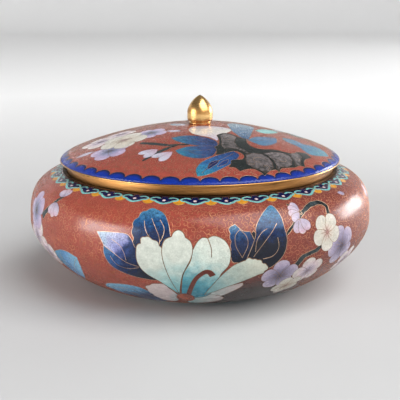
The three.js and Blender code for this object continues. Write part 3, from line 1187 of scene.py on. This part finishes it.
def lining_material():
    """Plain blue enamel inside the bowl and under the lid."""
    n = Nodes("lining_enamel")
    n.join(n.blend(n.span(n.noise(1.2, 4.0, 0.7), 0.35, 0.65, 0, 1), rgba(LINING), rgba("5aa9c2")),
           n.shader.inputs["Base Color"])
    n.join(n.span(n.noise(6.0), 0.3, 0.7, 0.14, 0.26), n.shader.inputs["Roughness"])
    n.bump(n.noise(1.8, 4.0), 0.04, 0.3)
    return n.material


def gilt_material(name, colour, deep, low, high, streak):
    """Gilt brass, a little darker and duller in its streaks."""
    n = Nodes(name)
    lines = n.noise(6.0, 5.0, 0.65, stretch=streak)
    specks = n.noise(0.8, 4.0, 0.6)
    n.join(n.blend(n.span(lines, 0.35, 0.7, 0, 1), rgba(colour), rgba(deep)), n.shader.inputs["Base Color"])
    n.join(n.span(lines, 0.3, 0.7, low, high), n.shader.inputs["Roughness"])
    n.shader.inputs["Metallic"].default_value = 1.0
    n.bump(specks, 0.02, 0.3)
    return n.material


def floor_material():
    """Pale and plain, and paler still away from the bowl, whose distance is in metres."""
    n = Nodes("pale_floor")
    away = n.add("ShaderNodeVectorMath", operation="LENGTH")
    n.join(n.places, away.inputs[0])
    near = n.blend(n.span(n.noise(300.0, 2.0), 0.3, 0.7, 0, 1), rgba("b6b6b6"), rgba("bababa"))
    far = n.span(away.outputs["Value"], 0.25, 1.0, 0, 1)
    n.join(n.blend(far, near, rgba("f2f2f2")), n.shader.inputs["Base Color"])
    n.shader.inputs["Roughness"].default_value = 0.6
    n.shader.inputs["Specular IOR Level"].default_value = 0.2
    return n.material


# Pieces.

def weld(mesh, distance):
    """Join places that lie together, and turn every face outwards."""
    work = bmesh.new()
    work.from_mesh(mesh)
    bmesh.ops.remove_doubles(work, verts=work.verts, dist=distance * MM)
    bmesh.ops.recalc_face_normals(work, faces=work.faces)
    work.to_mesh(mesh)
    work.free()


def turned_piece(name, section, material, node, steps=TURNED_STEPS):
    """A fitting turned from a closed section, or from one that starts and ends on the axis."""
    section = np.asarray(section, float)
    places, faces = turned_rings(section, steps)
    piece = make_mesh(name, places, faces)
    weld(piece.data, RING_WELD)
    piece.data.set_sharp_from_angle(angle=SHARP_ANGLE)
    piece.data.materials.append(material)
    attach(piece, "root")
    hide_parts(node)
    return piece


def eased_ring(inner, outer, bottom, top, ease):
    """A ring's closed section, its corners eased by small rounds."""
    section = []
    corners = ((outer, bottom, -90), (outer, top, 0), (inner, top, 90), (inner, bottom, 180))
    for radius, height, start in corners:
        centre_r = radius - ease if radius == outer else radius + ease
        centre_z = height + ease if height == bottom else height - ease
        for k in range(4):
            angle = math.radians(start + 30 * k)
            section.append((centre_r + ease * math.cos(angle), centre_z + ease * math.sin(angle)))
    section.append(section[0])
    return section


# Finer rows of the lid's skin near its edge, where it turns down: their reach, their gap and their spacing.
EDGE_BAND = 3.2
EDGE_GAP = 0.3
EDGE_STEP = 0.6


def make_bowl(finishes, gilt, bronze, copper):
    sheet = Sheet(bowl_curve(), disc=False, outward=1)
    picture = paint_bowl(sheet)
    low = np.array([SEAM_X, 0.0])
    high = np.array([SEAM_X + STRIP, sheet.arc[-1]])
    edge_x = np.linspace(low[0], high[0], RING_STEPS + 1)
    side_y = np.linspace(low[1], high[1], int(high[1] / SKIN_STEP) + 1)[1:-1]
    border = [(x, low[1]) for x in edge_x] + [(high[0], y) for y in side_y]
    border += [(x, high[1]) for x in edge_x[::-1]] + [(low[0], y) for y in side_y[::-1]]
    flat, triangles = flat_triangles(picture, border, filler_grid(low, high, SKIN_STEP), 0.5 * SKIN_STEP)

    inside_curve = inset(sheet.curve, BOWL_WALL)[::-1][::LINING_STEPS]
    backing = [
        (LIP_RADIUS, LIP_LEVEL),
        (MOUTH_RADIUS, LIP_LEVEL),
        (MOUTH_RADIUS, inside_curve[0][1]),
        *inside_curve,
        (BASE_RADIUS * 0.5, BASE_LEVEL + BOWL_WALL),
        (0, BASE_LEVEL + BOWL_WALL),
    ]
    underside = [(0, BASE_LEVEL), (BASE_RADIUS * 0.5, BASE_LEVEL), (BASE_RADIUS, BASE_LEVEL)]
    piece = enamel_piece("bowl_enamel", picture, flat, triangles, backing + underside, 2, finishes)
    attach(piece, "root")
    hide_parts("bowl_body")

    # The scrolls stop where the painted brown shade is deepest.
    scrolls = scroll_ground(picture, low, high, 0, GROUND_WIRE,
                            lambda line: (line[:, 1] < BORDER_TOP) & (brown_shade_share(line) < SCROLLS_SHADE_END))
    add_wires("bowl_wires", picture, picture.visible_wires("gilt"), gilt)
    add_wires("bowl_petal_wires", picture, picture.visible_wires("bronze"), bronze)
    half = len(scrolls) // 2
    add_wires("bowl_scrolls_low", picture, scrolls[:half], copper)
    add_wires("bowl_scrolls_high", picture, scrolls[half:], copper)


def add_wires(name, picture, lines, material):
    piece = wire_mesh(name, picture, lines)
    piece.data.materials.append(material)
    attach(piece, "root")


def make_lid(finishes, gilt, bronze):
    sheet = Sheet(dome_curve(), disc=True, outward=-1)
    picture = paint_lid(sheet)
    reach = sheet.arc[-1]
    azimuth = np.linspace(0, 2 * math.pi, RING_STEPS, endpoint=False) + SEAM_X / BELLY_RADIUS
    border = list(zip(reach * np.sin(azimuth), -reach * np.cos(azimuth)))
    corner = np.array([reach, reach])
    filler = filler_grid(-corner, corner, SKIN_STEP * 0.8)
    filler = [p for p in filler if math.hypot(*p) < reach - SKIN_STEP]
    for arc in np.arange(reach - EDGE_BAND, reach - EDGE_GAP, EDGE_STEP):
        filler += [(arc * math.sin(a), -arc * math.cos(a)) for a in azimuth[::2]]
    flat, triangles = flat_triangles(picture, border, filler, 0.4 * SKIN_STEP)
    under = inset(sheet.curve, -LID_WALL)
    keep = (under[:, 0] < LID_RADIUS - 2.5 * LID_WALL) & (under[:, 0] > 1)
    backing = [(LID_RADIUS, EDGE_LEVEL), (LID_RADIUS - LID_WALL, EDGE_LEVEL)]
    backing += [tuple(p) for p in under[keep][::-1][::LINING_STEPS]] + [(0, CROWN_LEVEL - LID_WALL)]
    piece = enamel_piece("lid_enamel", picture, flat, triangles, backing, 1, finishes)
    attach(piece, "root")
    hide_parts("lid_shell")

    scrolls = scroll_ground(picture, -corner, corner, 1, FINE_WIRE,
                            lambda line: inside(line, picture.cells[0][0]))
    add_wires("lid_wires", picture, picture.visible_wires("gilt"), gilt)
    add_wires("lid_petal_wires", picture, picture.visible_wires("bronze"), bronze)
    add_wires("lid_scrolls", picture, scrolls, gilt)


# The small rounds and bevels on the fittings' edges.
FOOT_EASE = 0.5
COLLAR_EASE = 0.3
FINIAL_UNDER_EASE = 0.2
FINIAL_EASE = 0.3


def make_fittings(gilt, dull_shaded_gilt):
    foot = eased_ring(FOOT_HIGH[0] - FOOT_THICKNESS, FOOT_HIGH[0], FOOT_LOW[2], FOOT_HIGH[2], FOOT_EASE)
    turned_piece("foot_ring_gilt", foot, gilt, "foot_ring")
    collar = eased_ring(MOUTH_RADIUS, COLLAR_RADIUS, LIP_LEVEL, COLLAR_TOP, COLLAR_EASE)
    # The collar takes the darker gilt, whose darkness is painted shade.
    turned_piece("collar_gilt", collar, dull_shaded_gilt, "neck_collar")
    flange_radius = MOUTH_RADIUS - FLANGE_CLEARANCE
    flange_inner = flange_radius - FLANGE_THICKNESS
    edge = (EDGE_LEVEL - COLLAR_TOP) / 2
    rounded = [
        (RIM_HIGH[0] - edge + edge * math.cos(a), COLLAR_TOP + edge + edge * math.sin(a))
        for a in np.linspace(-math.pi / 2, math.pi / 2, 7)
    ]
    turned_piece("lid_rim_gilt", [
        (flange_inner, RIM_LOW[2]), (flange_radius, RIM_LOW[2]), (flange_radius, COLLAR_TOP), *rounded,
        (flange_inner, EDGE_LEVEL), (flange_inner, RIM_LOW[2]),
    ], gilt, "lid_rim")
    foot_top = FINIAL_LOW[2] + FINIAL_FOOT_HEIGHT
    neck = foot_top + FINIAL_NECK_RISE
    widest = neck + FINIAL_SWELL_RISE
    radius, tip = FINIAL_HIGH[0], FINIAL_HIGH[2]
    swell = bezier([(FINIAL_NECK_RADIUS, neck), (radius, neck), (radius, neck), (radius, widest)], 12)
    bud = bezier([(radius, widest), (radius, widest + BUD_SHOULDER), (BUD_TIP_RADIUS, tip - BUD_TIP_DROP),
                  (0, tip)], 24)
    turned_piece("finial_gilt", [
        (0, FINIAL_LOW[2]),
        (FINIAL_FOOT_RADIUS - FINIAL_UNDER_EASE, FINIAL_LOW[2]),
        (FINIAL_FOOT_RADIUS, FINIAL_LOW[2] + FINIAL_EASE),
        (FINIAL_FOOT_RADIUS, foot_top - FINIAL_EASE),
        (FINIAL_FOOT_RADIUS - FINIAL_EASE, foot_top),
        *swell,
        *bud[1:],
    ], gilt, "finial", steps=FINIAL_STEPS)


# Camera, floor and lights. The eye is half a metre from the bowl and looks down on it.
EYE_DISTANCE = 500.0
EYE_RISE = math.radians(14.97)
LOOK_HEIGHT = 33.0
FRAME_PIXELS = 400
FOCAL_PIXELS = 826.9
LOOK_ROW = 219.5


def make_camera():
    data = bpy.data.cameras.new("camera")
    data.lens = FOCAL_PIXELS / FRAME_PIXELS * data.sensor_width
    data.clip_start = 0.01
    camera = bpy.data.objects.new("camera", data)
    bpy.context.collection.objects.link(camera)
    reach = EYE_DISTANCE * math.cos(EYE_RISE)
    camera.location = Vector((0, -reach, LOOK_HEIGHT + EYE_DISTANCE * math.sin(EYE_RISE))) * MM
    lift = math.atan((LOOK_ROW - FRAME_PIXELS / 2) / FOCAL_PIXELS)
    camera.rotation_euler = (math.pi / 2 - EYE_RISE + lift, 0, 0)
    bpy.context.scene.camera = camera


# Soft boxes: name, azimuth and rise in degrees, width and height in metres, and brightness.
# Azimuth 0 is the camera's side, and it turns to the right.
SOFT_BOXES = (
    ("left_box", -63, 8, (1.9, 1.3), 11),
    ("right_box", 118, 6.5, (1.6, 1.2), 13),
    ("front_box", 50, 48, (3.2, 3.0), 4.8),
)
BOX_DISTANCE = 3


def soft_box(name, azimuth, rise, size, brightness):
    """A light that faces the bowl."""
    data = bpy.data.lights.new(name, "AREA")
    data.shape = "RECTANGLE"
    data.size, data.size_y = size
    data.energy = brightness * math.pi * size[0] * size[1]
    light = bpy.data.objects.new(name, data)
    bpy.context.collection.objects.link(light)
    a, e = math.radians(azimuth), math.radians(rise)
    away = Vector((math.sin(a) * math.cos(e), -math.cos(a) * math.cos(e), math.sin(e)))
    light.location = away * BOX_DISTANCE + Vector((0, 0, LOOK_HEIGHT * MM))
    light.rotation_euler = away.to_track_quat("Z", "Y").to_euler()


ROOM_LEVEL = 0.2
ROOM_BEHIND = 0.04
ROOM_ABOVE = 0.02


def make_world():
    """A dim even room, a little brighter above and behind the bowl."""
    world = bpy.data.worlds.new("studio")
    world.use_nodes = True
    tree = world.node_tree
    background = tree.nodes["Background"]
    background.inputs["Color"].default_value = (1, 1, 1, 1)
    way = tree.nodes.new("ShaderNodeTexCoord")
    slope = tree.nodes.new("ShaderNodeVectorMath")
    slope.operation = "DOT_PRODUCT"
    slope.inputs[1].default_value = (0, ROOM_BEHIND, ROOM_ABOVE)
    level = tree.nodes.new("ShaderNodeMath")
    level.operation = "ADD"
    level.inputs[1].default_value = ROOM_LEVEL
    tree.links.new(way.outputs["Generated"], slope.inputs[0])
    tree.links.new(slope.outputs["Value"], level.inputs[0])
    tree.links.new(level.outputs[0], background.inputs["Strength"])
    bpy.context.scene.world = world


# The floor is level as far as its sweep, which ends upright.
SWEEP_PLACE = 3600
SWEEP_RADIUS = 1200
SWEEP_HEIGHT = 2400


def make_floor():
    """A wide round floor that sweeps up all the way round."""
    turn = np.linspace(0, math.pi / 2, 24)
    profile = [(0, 0), (SWEEP_PLACE / 2, 0)]
    profile += [(SWEEP_PLACE + SWEEP_RADIUS * math.sin(a), SWEEP_RADIUS * (1 - math.cos(a))) for a in turn]
    profile.append((SWEEP_PLACE + SWEEP_RADIUS, SWEEP_HEIGHT))
    places, faces = turned_rings(profile, 96)
    floor = make_mesh("floor", places, faces)
    weld(floor.data, RING_WELD)
    floor.data.materials.append(floor_material())


def make_studio():
    make_floor()
    make_world()
    for box in SOFT_BOXES:
        soft_box(*box)
    bpy.context.scene.view_settings.view_transform = "Standard"


make_camera()
make_studio()
enamel_finish = enamel_material()
lining_finish = lining_material()
wire_finish = gilt_material("wire_gilt", "d2b092", "8f705a", 0.34, 0.5, (1, 1, 1))
copper_finish = gilt_material("wire_copper", "bd8460", "84503a", 0.42, 0.58, (1, 1, 1))
bronze_finish = gilt_material("wire_bronze", "8a6a50", "4a3428", 0.35, 0.5, (1, 1, 1))
# Dark copper for the ledge under the collar: tarnished metal, and painted shade in the crevice there.
bare_copper_shade_finish = gilt_material("bare_copper_and_painted_shade", "4a3b2c", "1e1a16", 0.4, 0.6, (1, 1, 1))
gilt_finish = gilt_material("fitting_gilt", "e9bf80", "b07c42", 0.2, 0.34, (0.12, 0.12, 1.6))
# The collar's gilt is a darker, duller copy of the fittings' gilt: its dark colour and streaks are painted
# shade for the dark room it reflects.
collar_shaded_finish = gilt_material("collar_gilt", "c48c52", "553a1e", 0.3, 0.44, (0.12, 0.12, 1.6))
finishes = (enamel_finish, lining_finish, bare_copper_shade_finish)
make_bowl(finishes, wire_finish, bronze_finish, copper_finish)
make_lid(finishes, wire_finish, bronze_finish)
make_fittings(gilt_finish, collar_shaded_finish)
